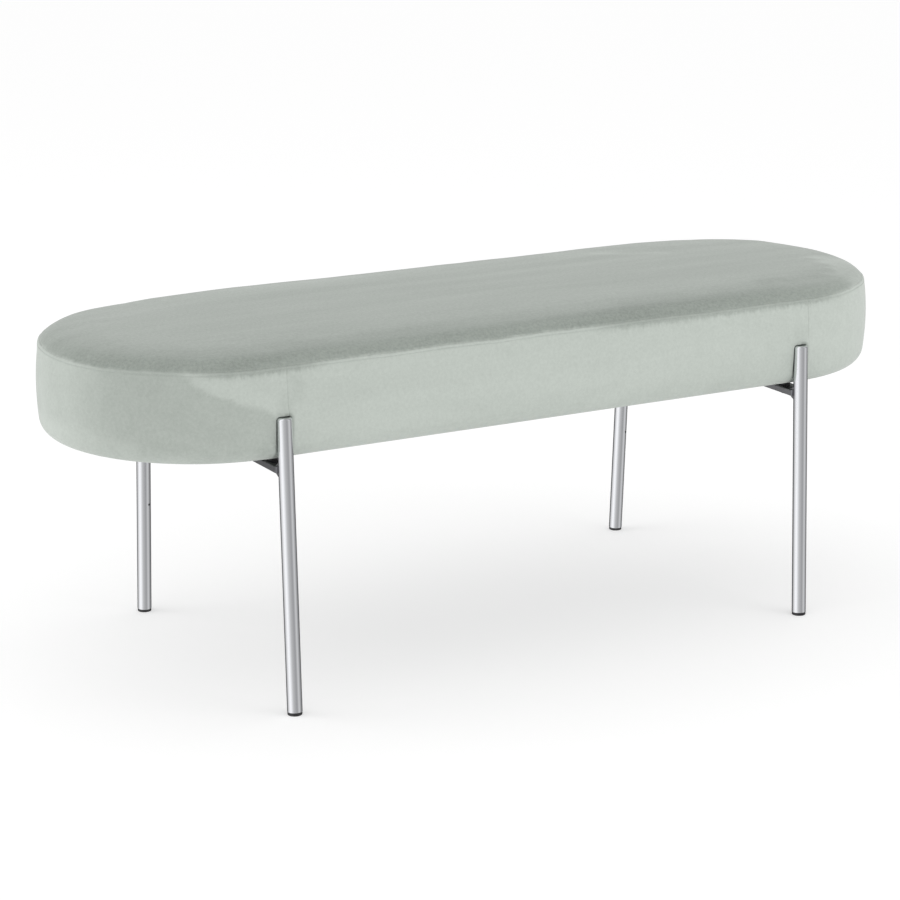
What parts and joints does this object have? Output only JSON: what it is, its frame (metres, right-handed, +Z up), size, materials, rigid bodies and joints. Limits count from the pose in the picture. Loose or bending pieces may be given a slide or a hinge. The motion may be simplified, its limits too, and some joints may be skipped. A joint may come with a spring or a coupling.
{
  "type": "ottoman",
  "caption": "Long padded bench seat with round ends in pale grey-green velvet, on slim splayed chrome tube legs that nest into hollows in its sides.",
  "frame": {"origin": "on the floor, under the middle of the seat", "axes": "+X along the bench, +Y across it to the back, +Z up"},
  "size_m": [1.2, 0.4706, 0.4485],
  "materials": {
    "velvet": "soft velvet, pale grey green",
    "padding": "foam and wadding",
    "timber": "plain board, uncoated",
    "chromed_steel": "polished",
    "satin_bar_steel": "satin",
    "black_plastic": "matte",
    "black_cloth": "matte",
    "zinc_fixings": "satin"
  },
  "bodies": {
    "root": {"top_cover": "velvet", "side_band_front": "velvet", "side_band_right": "velvet", "side_band_back": "velvet", "side_band_left": "velvet", "wadding_wrap": "padding", "seat_foam": "padding", "side_foam": "padding", "base_board": "timber", "deck_board": "timber", "front_rail": "timber", "back_rail": "timber", "left_end_wall": "timber", "right_end_wall": "timber", "cross_rib_left": "timber", "cross_rib_middle": "timber", "cross_rib_right": "timber", "leg_front_left": "chromed_steel", "leg_back_left": "chromed_steel", "leg_front_right": "chromed_steel", "leg_back_right": "chromed_steel", "leg_cap_front_left": "chromed_steel", "leg_cap_back_left": "chromed_steel", "leg_cap_front_right": "chromed_steel", "leg_cap_back_right": "chromed_steel", "crossbar_left": "satin_bar_steel", "crossbar_right": "satin_bar_steel", "weld_beads_left": "satin_bar_steel", "weld_beads_right": "satin_bar_steel", "foot_glide_front_left": "black_plastic", "foot_glide_back_left": "black_plastic", "foot_glide_front_right": "black_plastic", "foot_glide_back_right": "black_plastic", "bar_spacer_front_left": "black_plastic", "bar_spacer_back_left": "black_plastic", "bar_spacer_front_right": "black_plastic", "bar_spacer_back_right": "black_plastic", "dust_cover": "black_cloth", "frame_bolts": "zinc_fixings", "bolt_washers": "zinc_fixings", "threaded_inserts": "zinc_fixings", "cover_staples": "zinc_fixings", "deck_screws": "zinc_fixings"}
  },
  "joints": []
}
